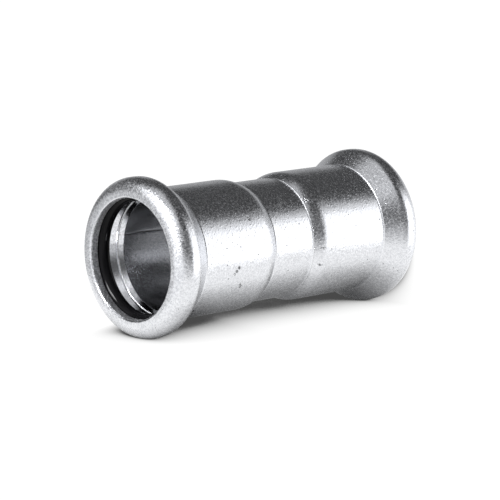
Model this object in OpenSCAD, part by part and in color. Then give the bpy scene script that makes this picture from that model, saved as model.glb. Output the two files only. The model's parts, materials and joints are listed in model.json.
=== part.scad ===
// Press fit pipe coupling: one formed steel tube with a seal ring in the bead at each end.
// The axis is +Z, the lower mouth stands on z = 0, and all sizes are millimetres.

/* [Pipe] */
// Outside diameter of the pipes that the coupling joins
pipe_d = 18; // [12:0.5:54]
// Play between the pipe and the socket, on the diameter
socket_play = 0.4; // [0.2:0.05:0.6]

/* [Tube] */
// Thickness of the steel wall
wall = 1.5; // [0.8:0.1:2.5]
// Overall length from mouth to mouth
length = 53; // [44:0.5:90]

/* [Waist] */
// Length of the narrow waist, between the feet of its two steps
waist_length = 8.3; // [4:0.1:14]
// Height of the step that stops the pipe
stop_height = 0.8; // [0.5:0.05:1.2]
// Length of the step's slope along the axis
stop_slope_length = 1.4; // [1:0.05:2]
// Inside radius of the step's shoulder, where the slope has room for it
shoulder_radius = 3.7; // [0.3:0.1:4]
// Outside radius at the foot of the step
stop_foot_radius = 0.4; // [0.2:0.1:1]

/* [Seal ring] */
// Thickness of the round ring section
ring_section = 2.4; // [1.8:0.1:4]
// How far the ring stands in from the socket wall, to press on the pipe
ring_proud = 0.2; // [0.1:0.05:0.25]
// Gap between the ring and the groove that it lies in
ring_clearance = 0.05; // [0.02:0.01:0.2]

/* [Bead] */
// Gap between the pipe and the edge of the turned-in lip
lip_gap = 0.75; // [0.4:0.05:1]
// Inside radius of the groove's front corner
groove_front_radius = 0.9; // [0.3:0.1:1]
// Inside radius where the crest turns into the cone
groove_back_radius = 0.5; // [0.2:0.1:1]
// Slope of the cone behind the crest, in degrees from the axis
cone_angle = 34.5; // [30:0.5:60]
// Outside radius at the foot of the cone
cone_foot_radius = 0.3; // [0.1:0.1:1]

/* [Hidden] */
$fn = 96;
steel_grey = [0.70, 0.71, 0.73];
rubber_black = [0.07, 0.07, 0.08];
// Reach of a cutter past the face that it opens
cut_over = 1;
// Angle at which a rounding crosses its straight stretches, so that each crossing is one clean point
arc_graze = 1;
// Straight stretch that is left between the shoulder and the foot of a step
slope_straight = 0.1;

// Radii from the axis outwards
bore_r = (pipe_d + socket_play) / 2;
socket_r = bore_r + wall;
waist_r = socket_r - stop_height;
lip_r = pipe_d / 2 + lip_gap;
ring_r = bore_r - ring_proud + ring_section / 2;
bead_r = ring_r + ring_section / 2 + ring_clearance + wall;

// Depths from a mouth: the groove closes round the ring, and the cone runs from its crest to the socket
ring_reach = ring_section / 2 + ring_clearance + wall;
ring_depth = ring_reach;
crest_end = ring_depth + ring_reach * tan(cone_angle / 2);
cone_foot = crest_end + (bead_r - socket_r) / tan(cone_angle);
step_end = (length - waist_length) / 2;
step_start = step_end - stop_slope_length;

// The shoulder's outside rounding is as large as asked, or as the slope above the foot's rounding allows
slope_angle = atan2(stop_height, stop_slope_length);
slope_run = norm([stop_height, stop_slope_length]) - slope_straight;
shoulder_rounding = min(shoulder_radius + wall, slope_run / tan(slope_angle / 2) - stop_foot_radius);

// Corners of the outer face from the lower mouth to the middle: [z, radius from the axis, rounding]
lower_corners = [
    [0, bead_r, groove_front_radius + wall],
    [crest_end, bead_r, groove_back_radius + wall],
    [cone_foot, socket_r, cone_foot_radius],
    [step_start, socket_r, shoulder_rounding],
    [step_end, waist_r, stop_foot_radius],
];
corner_count = len(lower_corners);
upper_corners = [for (i = [corner_count - 1 : -1 : 0])
    [length - lower_corners[i][0], lower_corners[i][1], lower_corners[i][2]]];
outline = concat([[0, 0, 0]], lower_corners, upper_corners, [[length, 0, 0]]);

// Direction of travel from one outline point to the next
function travel(a, b) = let (d = [b[0] - a[0], b[1] - a[1]]) d / norm(d);
// Outward normal of a stretch of the outline, on the left of its travel
function outward(t) = [-t[1], t[0]];
// An outline corner moved inwards by depth, with both its stretches
function inset_corner(i, depth) =
    let (
        before = outward(travel(outline[i - 1], outline[i])),
        after = outward(travel(outline[i], outline[i + 1])),
        shift = (before + after) / (1 + before * after)
    )
    [outline[i][0], outline[i][1]] - depth * shift;
// Turn of the outline at a corner, in degrees: below 0 where the outer face bulges
function turn(i) =
    let (
        into = travel(outline[i - 1], outline[i]),
        away = travel(outline[i], outline[i + 1])
    )
    atan2(into[0] * away[1] - into[1] * away[0], into * away);
// Rounding left at an inset corner: bulges get tighter and hollows get wider
function inset_rounding(i, depth) = outline[i][2] + sign(turn(i)) * depth;
// Distance from an inset corner to the ends of its arc
function arc_reach(i, depth) = inset_rounding(i, depth) * tan(abs(turn(i)) / 2);
// Radius of the arc, which bulges past the tangent by arc_graze at each end
function arc_radius(i, depth) =
    arc_reach(i, depth) * cos(turn(i) / 2) / sin(abs(turn(i)) / 2 + arc_graze);
// Centre of the arc, on the line that halves the corner
function arc_centre(i, depth) =
    let (
        corner = inset_corner(i, depth),
        inwards = travel(outline[i], outline[i + 1]) - travel(outline[i - 1], outline[i]),
        to_chord = arc_reach(i, depth) * sin(abs(turn(i)) / 2),
        to_centre = arc_radius(i, depth) * cos(abs(turn(i)) / 2 + arc_graze)
    )
    corner + (to_chord + to_centre) * inwards / norm(inwards);
// Ends of the straight stretches at a corner, just past where the arc crosses them
function straight_ends(i, depth) =
    let (
        corner = inset_corner(i, depth),
        reach = arc_reach(i, depth) - arc_radius(i, depth) * sin(arc_graze)
    )
    [
        corner - reach * travel(outline[i - 1], outline[i]),
        corner + reach * travel(outline[i], outline[i + 1]),
    ];

// Turns a [z, radius] point into the [x, y] of a revolved profile
function to_profile(p) = [p[1], p[0]];

// Circles of the outline's bulging (-1) or hollow (1) corners, cut off at the axis
module corner_arcs(depth, side) {
    intersection() {
        translate([0, -cut_over]) square([bead_r + cut_over, length + 2 * cut_over]);
        union()
            for (i = [1 : len(outline) - 2])
                if (sign(turn(i)) == side)
                    translate(to_profile(arc_centre(i, depth))) circle(r = arc_radius(i, depth));
    }
}

// Half section of everything inside the outer face, moved inwards by depth
module half_section(depth) {
    corners = [for (i = [1 : len(outline) - 2]) each straight_ends(i, depth)];
    points = concat([[depth, 0]], corners, [[length - depth, 0]]);
    difference() {
        union() {
            polygon([for (p = points) to_profile(p)]);
            corner_arcs(depth, -1);
        }
        corner_arcs(depth, 1);
    }
}

// Half section of the hole through the lip at the lower mouth
module mouth_hole() {
    translate([0, -cut_over]) square([lip_r, wall + 2 * cut_over]);
}

// Formed steel tube: the outer face less the same face moved in by the wall, open at both mouths
module coupling_body() {
    color(steel_grey)
        rotate_extrude()
            difference() {
                half_section(0);
                half_section(wall);
                mouth_hole();
                translate([0, length]) mirror([0, 1]) mouth_hole();
            }
}

// Round rubber ring in the groove of a bead, at a height above the lower mouth
module seal_ring(height) {
    color(rubber_black)
        translate([0, 0, height])
            rotate_extrude()
                translate([ring_r, 0]) circle(d = ring_section);
}

module upper_seal_ring() {
    seal_ring(length - ring_depth);
}

module lower_seal_ring() {
    seal_ring(ring_depth);
}

coupling_body();
upper_seal_ring();
lower_seal_ring();
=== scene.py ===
"""Press fit pipe coupling: the finish of its formed steel tube and seal rings, in a plain white studio."""
import json
import math

import bpy
import numpy as np
from mathutils import Matrix, Vector


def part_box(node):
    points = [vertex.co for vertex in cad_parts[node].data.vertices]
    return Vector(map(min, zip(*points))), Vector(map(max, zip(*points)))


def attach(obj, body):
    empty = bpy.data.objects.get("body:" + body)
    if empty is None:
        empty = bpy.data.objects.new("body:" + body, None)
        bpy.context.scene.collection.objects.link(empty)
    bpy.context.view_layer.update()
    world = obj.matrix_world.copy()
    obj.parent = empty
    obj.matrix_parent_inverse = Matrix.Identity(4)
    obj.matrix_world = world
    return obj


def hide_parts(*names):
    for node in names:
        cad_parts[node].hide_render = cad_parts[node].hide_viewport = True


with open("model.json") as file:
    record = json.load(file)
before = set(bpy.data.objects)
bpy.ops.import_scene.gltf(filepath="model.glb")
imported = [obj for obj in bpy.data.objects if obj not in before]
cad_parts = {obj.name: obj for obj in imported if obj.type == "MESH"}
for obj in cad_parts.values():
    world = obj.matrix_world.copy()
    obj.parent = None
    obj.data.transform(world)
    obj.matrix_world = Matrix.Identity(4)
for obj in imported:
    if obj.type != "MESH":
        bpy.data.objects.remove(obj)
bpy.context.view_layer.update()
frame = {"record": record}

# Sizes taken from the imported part, in metres
MM = 0.001
body_low, body_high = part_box("coupling_body")
ring_low, ring_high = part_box("lower_seal_ring")
upper_socket = next(m for m in frame["record"]["mounts"] if m["name"] == "upper_socket")
LENGTH = body_high.z - body_low.z
BEAD_R = body_high.x
BORE_R = upper_socket["dims"]["r_mm"] * MM
RING_SECTION = ring_high.z - ring_low.z
RING_R = ring_high.x - RING_SECTION / 2
RING_DEPTH = (ring_low.z + ring_high.z) / 2

# Sizes of the formed wall, as the part has them
RING_CLEARANCE = 0.05 * MM
WALL = ring_low.z - RING_CLEARANCE
SOCKET_R = BORE_R + WALL
LIP_R = 9.75 * MM
WAIST_LENGTH = 8.3 * MM
STOP_HEIGHT = 0.8 * MM
STOP_SLOPE = 1.4 * MM
CONE_ANGLE = math.radians(34.5)
FRONT_ROUNDING = 2.4 * MM
CREST_ROUNDING = 2.0 * MM
CONE_FOOT_ROUNDING = 0.3 * MM
SHOULDER_ROUNDING = 5.2 * MM
STOP_FOOT_ROUNDING = 0.4 * MM

# Roundings that the part leaves out or has larger: both edges of the lip and the inner foot of the cone,
# and the least one that a corner gets
LIP_FRONT_ROUNDING = 0.4 * MM
LIP_BACK_ROUNDING = 0.14 * MM
INNER_FOOT_ROUNDING = 0.4 * MM
LEAST_ROUNDING = 0.05 * MM

# Fine lines pressed into the wall at the feet of the cones and steps, and across the cone inside each bead
LINE_WIDTH = 0.36 * MM
LINE_DEPTH = 0.05 * MM
LINE_ROUNDING = 0.05 * MM
LINE_REACH = 0.55 * LINE_WIDTH
INNER_LINE_SHARE = 0.72
LINED_CORNERS = [2, 4, 5, 7]

# Unevenness that forming left in the wall: depths of a slow wave and a quick one
SLOW_WAVE = 0.006 * MM
QUICK_WAVE = 0.004 * MM

# Weld seam along the inside of the tube, with its thin dark line as a share of its width, and how far and
# how fast it wanders along the axis, in radians a metre
SEAM_ANGLE = math.radians(-7.4)
SEAM_WIDTH = 0.34 * MM
SEAM_HEIGHT = 0.06 * MM
SEAM_LINE_SHARE = 0.44
SEAM_WANDER = 0.17 * MM
SEAM_FINE_WANDER = 0.6 * SEAM_WANDER
SEAM_TURNS = 970
SEAM_FINE_TURNS = 2600

# Fine ridge that the mould left on the rings, and the room that they leave for it, as shares of the radius
# of their section
RIDGE_HEIGHT = 0.010
RIDGE_WIDTH = 0.07
RIDGE_ROOM = 0.012

# Points on a rounding, distance of the guard points beside it, and the largest rounding with fewer points
ARC_POINTS = 13
ARC_GUARD = 0.04 * MM
SMALL_ROUNDING = 0.3 * MM
# Length of the tube's steps along its wall, their number round the axis, and the number of close ones on
# the strip of the seam, with half the strip's width
WALL_STEP = 2.0 * MM
PLAIN_STEPS = 174
SEAM_STEPS = 34
SEAM_STRIP = 0.6 * MM
# Steps of a ring round the axis and round its section
RING_STEPS = 256
RING_SECTION_STEPS = 64

# How far outside the bore the wall still counts as bore, for the seam and for the finish
SEAM_MARGIN = 0.05 * MM
BORE_MARGIN = 0.03 * MM
# Least share of a normal that points to or from the axis: on a face along the axis, and on a slanting one
ALONG_AXIS = 0.5
SLANTING = 0.3

# Scuffs on the outside: angle round the axis, height, tilt from level, half length and half width. Angles
# are degrees and lengths are millimetres, also the depth. The core is the share of a scuff that is full.
SCUFFS = (
    (-106.6, 21.4, 25, 0.85, 0.24),
    (-128.0, 22.2, 30, 1.20, 0.28),
    (-130.0, 21.6, 30, 1.00, 0.24),
    (178.0, 39.2, 10, 0.45, 0.36),
    (175.0, 39.6, 40, 0.45, 0.36),
    (172.5, 40.0, 40, 0.35, 0.32),
    (-140.4, 35.7, 5, 0.60, 0.40),
    (159.9, 38.1, 30, 0.85, 0.36),
    (136.0, 45.7, 50, 0.75, 0.28),
    (-126.1, 10.0, 0, 0.40, 0.32),
    (-134.5, 12.5, 60, 0.55, 0.32),
    (167.9, 21.0, 70, 0.65, 0.28),
    (-176.5, 20.7, 80, 0.70, 0.28),
)
SCUFF_DEPTH = 0.05
SCUFF_CORE = 0.3

# Camera, turned so that the standing coupling lies across the picture
CAMERA_AZIMUTH = -70.216
CAMERA_ELEVATION = 41.602
CAMERA_ROLL = -98.792
CAMERA_DISTANCE = 420 * MM
CAMERA_LENS = 183.53
CAMERA_SENSOR = 36.0
CAMERA_NEAR = 10 * MM
AIM_RIGHT = -0.581 * MM
AIM_UP = -1.593 * MM


# Mesh making

def wall_corners():
    """Corners of the outer face as [height, radius, rounding], from the lower mouth to the upper one.

    The crest ends where the cone clears the seal ring, the cone runs down to the socket, and the upper half
    is the lower half turned over.
    """
    reach = RING_SECTION / 2 + RING_CLEARANCE + WALL
    crest_end = RING_DEPTH + reach * math.tan(CONE_ANGLE / 2)
    cone_foot = crest_end + (BEAD_R - SOCKET_R) / math.tan(CONE_ANGLE)
    step_end = (LENGTH - WAIST_LENGTH) / 2
    lower = np.array([
        [0, BEAD_R, FRONT_ROUNDING],
        [crest_end, BEAD_R, CREST_ROUNDING],
        [cone_foot, SOCKET_R, CONE_FOOT_ROUNDING],
        [step_end - STOP_SLOPE, SOCKET_R, SHOULDER_ROUNDING],
        [step_end, SOCKET_R - STOP_HEIGHT, STOP_FOOT_ROUNDING],
    ])
    upper = lower[::-1] * [-1, 1, 1] + [LENGTH, 0, 0]
    return np.vstack([lower, upper])


def unit(v):
    """Vectors scaled to length one."""
    return v / np.linalg.norm(v, axis=-1, keepdims=True)


def stretches(corners):
    """Directions of travel and outward normals of the stretches before, between and after the corners, from
    the axis to the axis. A normal is the travel turned to its left."""
    ends = np.vstack([[0, 0, 0], corners, [LENGTH, 0, 0]])
    travel = unit(np.diff(ends[:, :2], axis=0))
    return travel, np.stack([-travel[:, 1], travel[:, 0]], -1)


def inset(corners, depth):
    """The same face moved inwards by depth: each corner goes along the line that halves it, and bulging
    corners get tighter and hollow ones wider by that depth."""
    travel, outward = stretches(corners)
    before, after = outward[:-1], outward[1:]
    shift = (before + after) / (1 + np.sum(before * after, -1, keepdims=True))
    side = np.sign(travel[:-1, 0] * travel[1:, 1] - travel[:-1, 1] * travel[1:, 0])
    rounding = np.maximum(corners[:, 2] + side * depth, LEAST_ROUNDING)
    return np.column_stack([corners[:, :2] - depth * shift, rounding])


def with_lines(corners, which, depth):
    """The face with a fine line pressed into it at some of its corners: each of them gives way to three
    corners, of which the middle one is sunk by depth along the line that halves the corner."""
    travel, outward = stretches(corners)
    made = []
    for i, corner in enumerate(corners):
        if i not in which:
            made.append(corner)
            continue
        before = corner[:2] - travel[i] * LINE_WIDTH / 2
        sunk = corner[:2] - unit(outward[i] + outward[i + 1]) * depth
        after = corner[:2] + travel[i + 1] * LINE_WIDTH / 2
        made.extend([[*place, LINE_ROUNDING] for place in (before, sunk, after)])
    return np.array(made)


def inner_corners(outer):
    """Corners of the inner face: the outer face moved in by the wall, with a crisp foot and a fine line
    across each cone."""
    inner = inset(outer, WALL)
    inner[[2, -3], 2] = INNER_FOOT_ROUNDING
    low = inner[1] + (inner[2] - inner[1]) * INNER_LINE_SHARE
    high = inner[-2] + (inner[-3] - inner[-2]) * INNER_LINE_SHARE
    inner = np.vstack([inner[:2], low, inner[2:-2], high, inner[-2:]])
    return with_lines(inner, (2, len(inner) - 3), -LINE_DEPTH)


def rounded_loop(corners):
    """A closed outline with each corner replaced by the arc that touches both its straight stretches: the
    arc runs from one touching point to the other at a constant distance from a centre on the halving line.

    A guard point on the straight stretch before and after each arc keeps the shading of the straight flat.
    A small arc keeps every third point.
    """
    place = corners[:, :2]
    into = unit(place - np.roll(place, 1, axis=0))
    away = np.roll(into, -1, axis=0)
    turn = np.arctan2(into[:, 0] * away[:, 1] - into[:, 1] * away[:, 0], np.sum(into * away, -1))
    reach = corners[:, 2] * np.tan(np.abs(turn) / 2)
    normal = np.stack([-into[:, 1], into[:, 0]], -1) * np.sign(turn)[:, None]
    start = place - into * reach[:, None]
    angle = np.abs(turn)[:, None] * np.linspace(0, 1, ARC_POINTS)
    along = np.sin(angle) * corners[:, 2:3]
    across = (1 - np.cos(angle)) * corners[:, 2:3]
    arc = start[:, None] + along[..., None] * into[:, None] + across[..., None] * normal[:, None]
    before = arc[:, :1] - ARC_GUARD * into[:, None]
    after = arc[:, -1:] + ARC_GUARD * away[:, None]
    points = np.concatenate([before, arc, after], 1)
    order = np.arange(ARC_POINTS + 2)
    kept = (order % 3 == 1) | (order == 0) | (order == ARC_POINTS + 1)
    kept = kept | (corners[:, 2:3] > SMALL_ROUNDING)
    return points[kept]


def spaced(points, step):
    """A closed outline with its own points kept and more set in, so that no two lie much further apart than
    step. A point that would fall close to one of its own is left out."""
    closed = np.vstack([points, points[:1]])
    run = np.concatenate([[0], np.cumsum(np.linalg.norm(np.diff(closed, axis=0), axis=1))])
    marks = np.linspace(0, run[-1], int(run[-1] / step), endpoint=False)
    least_gap = 0.3 * step
    clear = np.abs(marks[:, None] - run[None]).min(1) > least_gap
    places = np.sort(np.concatenate([run[:-1], marks[clear]]))
    return np.column_stack([np.interp(places, run, closed[:, k]) for k in (0, 1)])


def loop_normals(points):
    """Outward normals of a closed outline, square to the line from the point before to the point after."""
    along = unit(np.roll(points, -1, axis=0) - np.roll(points, 1, axis=0))
    return np.stack([-along[:, 1], along[:, 0]], -1)


def grid_mesh(name, places, closed):
    """A mesh of four-sided faces over a grid of points, joined to itself both ways where it is closed."""
    rows, columns = places.shape[:2]
    index = np.arange(rows * columns).reshape(rows, columns)
    if closed:
        index = np.vstack([index, index[:1]])
        index = np.hstack([index, index[:, :1]])
    quads = np.stack([index[:-1, :-1], index[:-1, 1:], index[1:, 1:], index[1:, :-1]], -1).reshape(-1, 4)
    mesh = bpy.data.meshes.new(name)
    mesh.vertices.add(rows * columns)
    mesh.vertices.foreach_set("co", places.reshape(-1).astype(np.float32))
    mesh.loops.add(quads.size)
    mesh.loops.foreach_set("vertex_index", quads.reshape(-1).astype(np.int32))
    mesh.polygons.add(len(quads))
    mesh.polygons.foreach_set("loop_start", np.arange(0, quads.size, 4, dtype=np.int32))
    mesh.polygons.foreach_set("use_smooth", np.ones(len(quads), bool))
    mesh.update(calc_edges=True)
    mesh.validate()
    piece = bpy.data.objects.new(name, mesh)
    bpy.context.scene.collection.objects.link(piece)
    return piece


def turned(section, angles):
    """A section of [height, radius] points carried round the axis through the given angles."""
    height = np.broadcast_to(section[:, :1], (len(section), len(angles)))
    radius = section[:, 1:2]
    return np.stack([radius * np.cos(angles), radius * np.sin(angles), height], -1)


# Pieces

def wall_section():
    """The wall's closed outline as [height, radius] points: up the outer face, over the upper lip, down the
    inner face and over the lower lip."""
    outer = wall_corners()
    inner = inner_corners(outer)[::-1]
    outer = with_lines(outer, LINED_CORNERS, LINE_DEPTH)
    lips = [[LENGTH, LIP_R, LIP_FRONT_ROUNDING], [LENGTH - WALL, LIP_R, LIP_BACK_ROUNDING]]
    low_lips = [[WALL, LIP_R, LIP_BACK_ROUNDING], [0, LIP_R, LIP_FRONT_ROUNDING]]
    return spaced(rounded_loop(np.vstack([outer, lips, inner, low_lips])), WALL_STEP)


def seam_angles():
    """Angles round the axis: evenly spaced, with closer ones across the weld seam."""
    half = SEAM_STRIP / BORE_R
    close = SEAM_ANGLE + np.linspace(-half, half, SEAM_STEPS)
    wide = SEAM_ANGLE + np.linspace(half, 2 * np.pi - half, PLAIN_STEPS + 2)[1:-1]
    return np.concatenate([close, wide])


def formed_tube(section, normal):
    """The steel tube: its wall section turned round the axis, slightly uneven from forming, with the weld
    seam raised on the inner face.

    The unevenness only sinks the wall. It is the sum of a slow wave, three times round and slanting along
    the axis, and a quick one, seven times round and nine half waves along. The seam is a bell curve across
    the angle, whose middle wanders along the axis by two waves. A narrower bell curve is kept on the points
    as the weld attribute.
    """
    height, radius = section[:, :1], section[:, 1:2]
    angles = seam_angles()
    slow = np.cos(3 * angles + 60 * height / LENGTH)
    quick = np.cos(7 * angles - 1.3) * np.sin(9 * np.pi * height / LENGTH)
    forming = np.minimum(SLOW_WAVE * slow + QUICK_WAVE * quick, 0)
    wander = SEAM_WANDER * np.cos(SEAM_TURNS * height - 0.4)
    wander = wander + SEAM_FINE_WANDER * np.cos(SEAM_FINE_TURNS * height)
    across = np.angle(np.exp(1j * (angles - SEAM_ANGLE))) * BORE_R - wander
    inside = (radius < BORE_R + SEAM_MARGIN) & (normal[:, 1:2] < 0)
    seam = inside * np.exp(-(across / (0.5 * SEAM_WIDTH)) ** 2)
    line = inside * np.exp(-(across / (0.5 * SEAM_LINE_SHARE * SEAM_WIDTH)) ** 2)

    raised = forming + SEAM_HEIGHT * seam
    places = turned(section, angles) + turned(normal, angles) * raised[..., None]
    tube = grid_mesh("formed_tube", places, True)
    weld = tube.data.attributes.new("weld", "FLOAT", "POINT")
    weld.data.foreach_set("value", line.reshape(-1).astype(np.float32))
    return tube


def finish_tube(tube, section, normal, finishes):
    """inside and pressed line, whose lighter tone is a painted highlight. A stretch belongs where its
    normal points and its middle lies."""
    middle = (section + np.roll(section, -1, axis=0)) / 2
    outward = normal[:, 1]
    bore = (outward < -ALONG_AXIS) & (middle[:, 1] < BORE_R + BORE_MARGIN)
    cut = (outward < -ALONG_AXIS) & (np.abs(middle[:, 1] - LIP_R) < LIP_BACK_ROUNDING / 2)
    inside = (outward < -SLANTING) & ~bore & ~cut
    line_heights = wall_corners()[LINED_CORNERS, 0]
    off_line = np.abs(middle[:, :1] - line_heights).min(1)
    line = (outward > SLANTING) & (off_line < LINE_REACH)
    kind = 1 * bore + 2 * cut + 3 * inside + 4 * line
    steps = len(tube.data.polygons) // len(section)
    for finish in finishes:
        tube.data.materials.append(finish)
    tube.data.polygons.foreach_set("material_index", np.repeat(kind, steps).astype(np.int32))


def seal_ring(name, height):
    """A round rubber ring: a circle turned round the axis, with the fine ridge of its mould on the inside
    and outside, a narrow bell curve over the sine of the circle's angle."""
    turn = np.linspace(0, 2 * np.pi, RING_SECTION_STEPS, endpoint=False)
    ridge = RIDGE_HEIGHT * np.exp(-(np.sin(turn) / RIDGE_WIDTH) ** 2)
    bulge = RING_SECTION / 2 * (1 - RIDGE_ROOM + ridge)
    section = np.column_stack([height + bulge * np.sin(turn), RING_R + bulge * np.cos(turn)])
    angles = np.linspace(0, 2 * np.pi, RING_STEPS, endpoint=False)
    return grid_mesh(name, turned(section, angles), True)


# Shader helpers

def add_node(tree, kind, inputs=None, **settings):
    """A node with its settings and the values or links of its inputs."""
    made = tree.nodes.new(kind)
    for key, value in settings.items():
        setattr(made, key, value)
    for key, value in (inputs or {}).items():
        socket = made.inputs[key]
        if isinstance(value, bpy.types.NodeSocket):
            tree.links.new(value, socket)
        else:
            socket.default_value = value
    return made


def math_node(tree, operation, *values):
    """One step of arithmetic on values or links."""
    return add_node(tree, "ShaderNodeMath", dict(enumerate(values)), operation=operation).outputs[0]


def dot_node(tree, vector, way):
    """How far a vector goes in a direction."""
    inputs = {0: vector, 1: way}
    return add_node(tree, "ShaderNodeVectorMath", inputs, operation="DOT_PRODUCT").outputs["Value"]


def map_range(tree, value, source, target=(0.0, 1.0), step="LINEAR"):
    """A value taken from one range to another, and held at its ends."""
    inputs = {"Value": value, "From Min": source[0], "From Max": source[1], "To Min": target[0],
              "To Max": target[1]}
    return add_node(tree, "ShaderNodeMapRange", inputs, interpolation_type=step).outputs[0]


def mix_colours(tree, factor, first, second):
    """A colour between two, by a factor."""
    inputs = {"Factor": factor, 6: first, 7: second}
    return add_node(tree, "ShaderNodeMix", inputs, data_type="RGBA").outputs[2]


def blank_material(name):
    """A new material with an empty node tree and its output."""
    material = bpy.data.materials.new(name)
    material.use_nodes = True
    material.node_tree.nodes.clear()
    output = material.node_tree.nodes.new("ShaderNodeOutputMaterial")
    return material, material.node_tree, output


# Finishes

# Soft noises of the skin with their detail, and its spots with the sizes of their full core and their edge
NOISES = (("Grain", "Grain Scale", 3.0), ("Patches", "Patch Scale", 2.0))
SPOTS = (("Pits", "Pit Scale", (0.02, 0.08)), ("Specks", "Speck Scale", (0.05, 0.35)))
NOISE_ROUGHNESS = 0.6
# Range in which a soft noise mostly lies, and the narrower ranges of its flecks and of its hollows
NOISE_RANGE = (0.3, 0.7)
FLECK_RANGE = (0.36, 0.64)
HOLLOW_RANGE = (0.58, 0.48)

STEEL_SCALES = {"Grain Scale": 3200.0, "Patch Scale": 700.0, "Pit Scale": 640.0, "Speck Scale": 1700.0}
SCAR_TONE = (0.03, 0.03, 0.03, 1.0)
SCAR_SHARE = 0.85

RUBBER_SCALES = {"Grain Scale": 2600.0, "Patch Scale": 300.0, "Pit Scale": 700.0, "Speck Scale": 1500.0}
RUBBER_DARK = (0.003, 0.003, 0.003, 1.0)
RUBBER_LIGHT = (0.006, 0.006, 0.007, 1.0)
RUBBER_ROUGHNESS = (0.05, 0.09)
RUBBER_SPECULAR = 0.10
RUBBER_BUMP = 0.02 * MM
RUBBER_BUMP_STRENGTH = 0.3


def grain_group():
    """Skin of a plated or moulded surface: fine grain, wide soft patches, scattered pits and close fine
    specks."""
    group = bpy.data.node_groups.new("skin_grain", "ShaderNodeTree")
    sockets = group.interface
    for label, scale, *_ in NOISES + SPOTS:
        sockets.new_socket(scale, in_out="INPUT", socket_type="NodeSocketFloat")
        sockets.new_socket(label, in_out="OUTPUT", socket_type="NodeSocketFloat")
    given = add_node(group, "NodeGroupInput").outputs
    place = add_node(group, "ShaderNodeTexCoord").outputs["Object"]
    made = {}
    for label, scale, detail in NOISES:
        made[label] = add_node(group, "ShaderNodeTexNoise", {
            "Vector": place, "Scale": given[scale], "Detail": detail,
            "Roughness": NOISE_ROUGHNESS}).outputs[0]
    for label, scale, sizes in SPOTS:
        cells = add_node(group, "ShaderNodeTexVoronoi", {"Vector": place, "Scale": given[scale]})
        made[label] = map_range(group, cells.outputs["Distance"], sizes, (1.0, 0.0))
    add_node(group, "NodeGroupOutput", made)
    return group


def scuff_mask(tree, angle, height, tilt, length, width):
    """One scuff: a long oval on the outside of the socket, strongest in its middle."""
    angle, tilt = math.radians(angle), math.radians(tilt)
    out = Vector((math.cos(angle), math.sin(angle), 0))
    level = Vector((-math.sin(angle), math.cos(angle), 0))
    along = level * math.cos(tilt) + Vector((0, 0, math.sin(tilt)))
    turn = Matrix((along, out.cross(along), out)).transposed().to_euler()
    place = add_node(tree, "ShaderNodeTexCoord").outputs["Object"]
    oval = add_node(tree, "ShaderNodeMapping", {
        "Vector": place, "Location": out * SOCKET_R + Vector((0, 0, height * MM)), "Rotation": turn,
        "Scale": (length * MM, width * MM, WALL)}, vector_type="TEXTURE").outputs[0]
    far = add_node(tree, "ShaderNodeVectorMath", {0: oval}, operation="LENGTH").outputs["Value"]
    return map_range(tree, far, (SCUFF_CORE, 1.0), (1.0, 0.0), "SMOOTHSTEP")


def steel(name, group, light, dark, roughness, depths, scuffs=()):
    """Zinc plated steel: a grey metal whose grain breaks up what it mirrors, with soft patches, pits, fine
    specks and scuffs that the grain breaks up.

    With the grain, its flecks go from the dark tone to the light one and its roughness from the first value
    to the second. The depths, of grain, patches, pits and specks, are millimetres.
    """
    material, tree, output = blank_material(name)
    skin = add_node(tree, "ShaderNodeGroup", STEEL_SCALES, node_tree=group).outputs
    height = 0.0
    for label, depth in zip(("Grain", "Patches", "Pits", "Specks"), depths):
        height = math_node(tree, "MULTIPLY_ADD", skin[label], depth, height)
    scuffed = 0.0
    for scuff in scuffs:
        scuffed = math_node(tree, "MAXIMUM", scuff_mask(tree, *scuff), scuffed)
    scuffed = math_node(tree, "MULTIPLY", scuffed, map_range(tree, skin["Grain"], HOLLOW_RANGE))
    height = math_node(tree, "MULTIPLY_ADD", scuffed, -SCUFF_DEPTH, height)
    scars = math_node(tree, "MAXIMUM", skin["Pits"], scuffed)
    weld = add_node(tree, "ShaderNodeAttribute", attribute_name="weld").outputs["Fac"]
    scars = math_node(tree, "MAXIMUM", math_node(tree, "MULTIPLY", scars, SCAR_SHARE), weld)
    flecks = map_range(tree, skin["Grain"], FLECK_RANGE)
    tone = mix_colours(tree, flecks, (*dark, 1.0), (*light, 1.0))
    tone = mix_colours(tree, scars, tone, SCAR_TONE)
    normal = add_node(tree, "ShaderNodeBump", {
        "Strength": 1.0, "Distance": MM, "Height": height}).outputs[0]
    shader = add_node(tree, "ShaderNodeBsdfPrincipled", {
        "Base Color": tone, "Metallic": 1.0, "Normal": normal,
        "Roughness": map_range(tree, skin["Grain"], NOISE_RANGE, roughness)}).outputs[0]
    tree.links.new(shader, output.inputs["Surface"])
    return material


def black_rubber(name, group):
    """Black seal rubber with a thin film of grease."""
    material, tree, output = blank_material(name)
    skin = add_node(tree, "ShaderNodeGroup", RUBBER_SCALES, node_tree=group).outputs
    normal = add_node(tree, "ShaderNodeBump", {
        "Strength": RUBBER_BUMP_STRENGTH, "Distance": RUBBER_BUMP, "Height": skin["Grain"]}).outputs[0]
    shader = add_node(tree, "ShaderNodeBsdfPrincipled", {
        "Base Color": mix_colours(tree, skin["Patches"], RUBBER_DARK, RUBBER_LIGHT),
        "Roughness": map_range(tree, skin["Patches"], NOISE_RANGE, RUBBER_ROUGHNESS),
        "Specular IOR Level": RUBBER_SPECULAR, "Normal": normal}).outputs[0]
    tree.links.new(shader, output.inputs["Surface"])
    return material


# Camera and light

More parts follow.
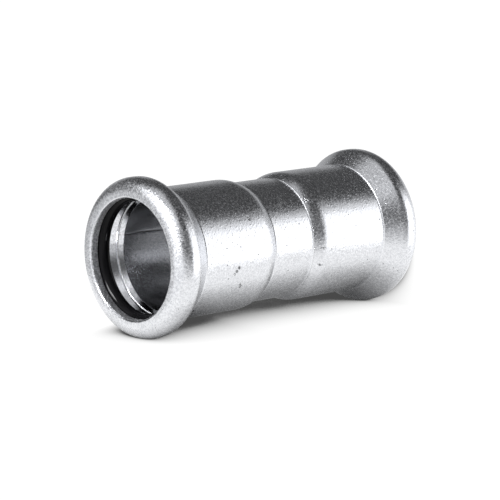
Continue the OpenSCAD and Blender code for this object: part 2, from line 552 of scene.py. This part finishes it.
def camera_axes():
    """Right, up and back of the camera, as unit vectors of the part's frame."""
    azimuth, elevation = math.radians(CAMERA_AZIMUTH), math.radians(CAMERA_ELEVATION)
    back = Vector((math.sin(azimuth) * math.cos(elevation), -math.cos(azimuth) * math.cos(elevation),
                   math.sin(elevation)))
    level = Vector((math.cos(azimuth), math.sin(azimuth), 0))
    rise = back.cross(level)
    roll = math.radians(CAMERA_ROLL)
    right = level * math.cos(roll) + rise * math.sin(roll)
    return right, back.cross(right), back


def set_camera():
    """The camera at the photograph's viewing angle."""
    right, up, back = camera_axes()
    centre = Vector((0, 0, LENGTH / 2))
    aim = centre + right * AIM_RIGHT + up * AIM_UP
    place = centre + back * CAMERA_DISTANCE
    look_back = (place - aim).normalized()
    side = up.cross(look_back).normalized()
    top = look_back.cross(side)
    data = bpy.data.cameras.new("camera")
    data.lens = CAMERA_LENS
    data.sensor_width = CAMERA_SENSOR
    data.clip_start = CAMERA_NEAR
    camera = bpy.data.objects.new("camera", data)
    axes = Matrix((side, top, look_back)).transposed().to_4x4()
    camera.matrix_world = Matrix.Translation(place) @ axes
    bpy.context.scene.collection.objects.link(camera)
    bpy.context.scene.camera = camera


# Panels of the studio as the camera has them, in degrees: turn to the right of straight ahead, rise, half
# width, half height and soft edge, then brightness
PANELS = (
    (0, -60, 180, 50, 20, 0.66),
    (36, 52, 120, 30, 16, 0.065),
    (-60, 20, 35, 14, 12, 0.15),
    (12, 20, 45, 11, 10, 0.45),
    (50, -8, 24, 24, 40, 1.20),
    (88, 5, 15, 26, 30, 2.20),
    (-140, 5, 45, 42, 14, 1.00),
    (-135, 25, 8, 12, 6, 36.00),
    (148, 8, 40, 16, 24, 0.14),
)
STUDIO_BASE = 0.55
STUDIO_TINT = (0.98, 0.985, 1.0, 1.0)


def panel_mask(tree, turn, rise, panel):
    """Share of a panel in a direction: the product of two soft steps, one over the turn and one over the
    rise."""
    middle_turn, middle_rise, half_width, half_height, soft = panel
    off = math_node(tree, "WRAP", math_node(tree, "SUBTRACT", turn, middle_turn), 180.0, -180.0)
    high = math_node(tree, "SUBTRACT", rise, middle_rise)
    shares = []
    for away, half in ((off, half_width), (high, half_height)):
        distance = math_node(tree, "ABSOLUTE", away)
        edge = (half + soft / 2, half - soft / 2)
        shares.append(map_range(tree, distance, edge, step="SMOOTHSTEP"))
    return math_node(tree, "MULTIPLY", *shares)


def studio_light():
    """World light of soft panels: each brightens or darkens its own stretch of the surroundings."""
    world = bpy.data.worlds.new("studio")
    world.use_nodes = True
    tree = world.node_tree
    tree.nodes.clear()
    ray = add_node(tree, "ShaderNodeTexCoord").outputs["Generated"]
    right, up, back = [dot_node(tree, ray, axis) for axis in camera_axes()]
    ahead = math_node(tree, "MULTIPLY", back, -1.0)
    turn = math_node(tree, "DEGREES", math_node(tree, "ARCTAN2", right, ahead))
    rise = math_node(tree, "DEGREES", math_node(tree, "ARCSINE", up))
    level = STUDIO_BASE
    for *panel, bright in PANELS:
        inputs = {"Factor": panel_mask(tree, turn, rise, panel), 2: level, 3: bright}
        level = add_node(tree, "ShaderNodeMix", inputs, data_type="FLOAT").outputs[0]
    glow = add_node(tree, "ShaderNodeBackground", {"Color": STUDIO_TINT, "Strength": level})
    output = add_node(tree, "ShaderNodeOutputWorld")
    tree.links.new(glow.outputs[0], output.inputs["Surface"])
    bpy.context.scene.world = world


# Stage

# Turn of the paper sheet beside the part, so that it lies level in the picture
SHEET_TURN = math.radians(6.7)
# Half the width of the floor and the sheet, and of the near sheet with its painted shadow that the metal
# mirrors
STAGE_HALF = 1.0
NEAR_SHEET_HALF = 45 * MM
# The dome's radius, its rise at the opening round each pole, and its points over turn and rise
DOME_R = 1.6
DOME_TOP = 0.49 * math.pi
DOME_TURN_POINTS = 65
DOME_RISE_POINTS = 33

# Glow of the paper where no painted shadow darkens it
PAPER_GLOW = 1.06
# Where the light comes from that the painted shadow on the paper stands for, on the paper that the camera
# sees and on the paper
# that the metal mirrors: shares out of the sheet, level along it towards the camera's side, and up the
# axis. No lamp is there
SEEN_SHADOW_LIGHT = (0.06, 0.86, 0.50)
MIRRORED_SHADOW_LIGHT = (0.84, 0.0, 0.54)
SHADE_SAMPLES = 64
# Least share of open sky that counts, so that the painted shadow is never quite black
LEAST_SKY = 0.004
# Distances at which the painted shadow is still full and at which it is gone, and the metres that a square
# metre of way beside the part counts for
SHADE_FULL = 6 * MM
SHADE_GONE = 17 * MM
SHADE_NARROWING = 45.0
# Stretch of the axis along which the painted shadow behind the part is widest
SHADE_MIDDLE = LENGTH / 3
SHADE_HALF_LENGTH = 12 * MM


def sheet_axes():
    """Directions straight out of the sheet to the part, level along it to the camera's side, and up the
    axis."""
    out = Vector((math.sin(SHEET_TURN), -math.cos(SHEET_TURN), 0))
    return out, Vector((out.y, -out.x, 0)), Vector((0, 0, 1))


def painted_shadow_share(tree, back_fade, end_fade):
    """Share of the painted shadow that is left at a place: all of it near the part, none far away, and a
    soft step between.

    How far away a place is adds up its distance from the sheet and the square of its way beside the part.
    Behind the part, as the camera has it, that way counts back_fade times, and a third term is added: the
    way behind, times the way past the shade's widest stretch, times end_fade.
    """
    place = add_node(tree, "ShaderNodeTexCoord").outputs["Object"]
    height, beside, rise = [dot_node(tree, place, way) for way in sheet_axes()]
    off_sheet = math_node(tree, "ABSOLUTE", math_node(tree, "ADD", height, BEAD_R))
    side = math_node(tree, "MAXIMUM", beside, math_node(tree, "MULTIPLY", beside, -back_fade))
    square = math_node(tree, "MULTIPLY", side, side)
    away = math_node(tree, "MULTIPLY_ADD", square, SHADE_NARROWING, off_sheet)
    behind = math_node(tree, "MAXIMUM", math_node(tree, "MULTIPLY", beside, -1.0), 0.0)
    from_middle = math_node(tree, "ABSOLUTE", math_node(tree, "SUBTRACT", rise, SHADE_MIDDLE))
    off_end = math_node(tree, "SUBTRACT", from_middle, SHADE_HALF_LENGTH)
    past_end = math_node(tree, "MAXIMUM", off_end, 0.0)
    faded = math_node(tree, "MULTIPLY", behind, end_fade)
    away = math_node(tree, "MULTIPLY_ADD", faded, past_end, away)
    return map_range(tree, away, (SHADE_FULL, SHADE_GONE), (1.0, 0.0), "SMOOTHSTEP")


def paper(name, light, reach, core, depth, back_fade, end_fade):
    """White studio paper that glows, with a painted shadow in its glow: it darkens where the part, within
    reach, stands in the half of the surroundings that the light comes from, as ambient occlusion, and no
    lamp casts it.

    The share of that half below the paper never counts, and the shade is full where less than core of the
    rest is open. From there up to the open paper, the brightness is a power of what is open, by depth, as
    far as the shade's share goes. The paper's back is clear, so that it never hides the part.
    """
    material, tree, output = blank_material(name)
    out, front, axis = sheet_axes()
    facing = (out * light[0] + front * light[1] + axis * light[2]).normalized()
    normal = add_node(tree, "ShaderNodeCombineXYZ", dict(zip("XYZ", facing))).outputs[0]
    sky = add_node(tree, "ShaderNodeAmbientOcclusion", {
        "Distance": reach, "Normal": normal}, samples=SHADE_SAMPLES).outputs["AO"]
    below = (1 - facing.dot(out)) / 2
    above = map_range(tree, sky, (below + core * (1 - below), 1.0), (LEAST_SKY, 1.0))
    hidden = math_node(tree, "SUBTRACT", 1.0, math_node(tree, "POWER", above, depth))
    # Painted shadow: the paper's glow is cut where the part hides its sky
    painted_shadow = math_node(tree, "MULTIPLY", hidden, painted_shadow_share(tree, back_fade, end_fade))
    bright = math_node(tree, "MULTIPLY", math_node(tree, "SUBTRACT", 1.0, painted_shadow), PAPER_GLOW)
    glowing = add_node(tree, "ShaderNodeEmission", {"Color": (1, 1, 1, 1), "Strength": bright}).outputs[0]
    clear = add_node(tree, "ShaderNodeBsdfTransparent").outputs[0]
    back = add_node(tree, "ShaderNodeNewGeometry").outputs["Backfacing"]
    shader = add_node(tree, "ShaderNodeMixShader", {0: back, 1: glowing, 2: clear}).outputs[0]
    tree.links.new(shader, output.inputs["Surface"])
    return material


def stage_piece(name, places, material, seen):
    """A piece of the studio that the camera sees, or else one that only the metal mirrors."""
    piece = grid_mesh(name, places, False)
    piece.data.materials.append(material)
    piece.visible_camera = seen
    piece.visible_glossy = not seen
    piece.visible_diffuse = False
    piece.visible_transmission = False
    piece.visible_shadow = False


def sheet_square(half):
    """A flat square that stands along the axis, turned about it, and touches both beads."""
    along, height = np.meshgrid([-half, half], [-half, half])
    cos, sin = math.cos(SHEET_TURN), math.sin(SHEET_TURN)
    return np.stack([along * cos - BEAD_R * sin, along * sin + BEAD_R * cos, height + LENGTH / 2], -1)


def dome_shell():
    """A sphere, open at its poles, as a grid over rise and turn."""
    turn = np.linspace(0, 2 * np.pi, DOME_TURN_POINTS)
    rise = np.linspace(DOME_TOP, -DOME_TOP, DOME_RISE_POINTS)[:, None]
    level = np.cos(rise)
    return DOME_R * np.stack([level * np.cos(turn), level * np.sin(turn), np.sin(rise) + 0 * turn], -1)


def build_stage():
    """A pale floor under the standing part, paper that its side touches, and a white dome far behind, all
    glowing, with a painted shadow in the glow of the floor and the paper. The metal mirrors only the paper
    near it."""
    ends = np.array([-STAGE_HALF, STAGE_HALF])
    x, y = np.meshgrid(ends, ends)
    # Floor and sheet glow white, with a painted shadow where the part stands near them
    floor_paper = paper("floor_paper", SEEN_SHADOW_LIGHT, reach=16 * MM, core=0.35, depth=0.50,
                        back_fade=2.0, end_fade=0.0)
    seen_paper = paper("studio_paper", SEEN_SHADOW_LIGHT, reach=16 * MM, core=0.35, depth=0.50,
                       back_fade=1.0, end_fade=45.0)
    # Paper that only the metal mirrors: its painted shadow darkens the reflections on the part's lower side
    mirrored_shadow_paper = paper("mirrored_shadow_paper", MIRRORED_SHADOW_LIGHT, reach=11 * MM, core=0.12, depth=1.1,
                       back_fade=1.0, end_fade=0.0)
    stage_piece("floor", np.stack([x, y, 0 * x], -1), floor_paper, True)
    stage_piece("sheet", sheet_square(STAGE_HALF), seen_paper, True)
    stage_piece("mirrored_shadow_sheet", sheet_square(NEAR_SHEET_HALF), mirrored_shadow_paper, False)
    stage_piece("dome", dome_shell(), seen_paper, True)


# Build

bpy.context.scene.view_settings.view_transform = "Standard"

# Steel of the outside, the bore, the lip's cut edge, the formed inside of the beads and the pressed lines,
# whose lighter tone is a painted highlight
grain = grain_group()
plated = steel("plated_steel", grain, light=(0.89, 0.90, 0.925), dark=(0.65, 0.66, 0.685),
               roughness=(0.13, 0.40), depths=(0.02, 0.012, -0.05, 0.015), scuffs=SCUFFS)
bare = steel("bore_steel", grain, light=(0.71, 0.715, 0.73), dark=(0.54, 0.545, 0.56),
             roughness=(0.13, 0.20), depths=(0.006, 0.006, -0.01, 0.003))
cut = steel("cut_edge_steel", grain, light=(0.78, 0.785, 0.80), dark=(0.34, 0.345, 0.36),
            roughness=(0.38, 0.60), depths=(0.07, 0.06, -0.05, 0.05))
formed = steel("formed_steel", grain, light=(0.80, 0.81, 0.835), dark=(0.62, 0.63, 0.655),
               roughness=(0.06, 0.10), depths=(0.004, 0.006, -0.01, 0.002))
# The pressed lines get a lighter steel than the outside: a painted highlight along them, while their
# roughness spreads the lamp's real highlight
line_highlight_steel = steel("pressed_line_highlight_steel", grain, light=(0.92, 0.93, 0.955), dark=(0.78, 0.79, 0.815),
              roughness=(0.20, 0.36), depths=(0.006, 0.006, -0.01, 0.003))
rubber = black_rubber("seal_rubber", grain)

section = wall_section()
normal = loop_normals(section)
tube = formed_tube(section, normal)
finish_tube(tube, section, normal, (plated, bare, cut, formed, line_highlight_steel))
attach(tube, "root")
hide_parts("coupling_body")

for place, height in (("upper", LENGTH - RING_DEPTH), ("lower", RING_DEPTH)):
    ring = seal_ring(place + "_rubber_ring", height)
    ring.data.materials.append(rubber)
    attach(ring, "root")
    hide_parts(place + "_seal_ring")

set_camera()
studio_light()
build_stage()

bpy.context.view_layer.update()
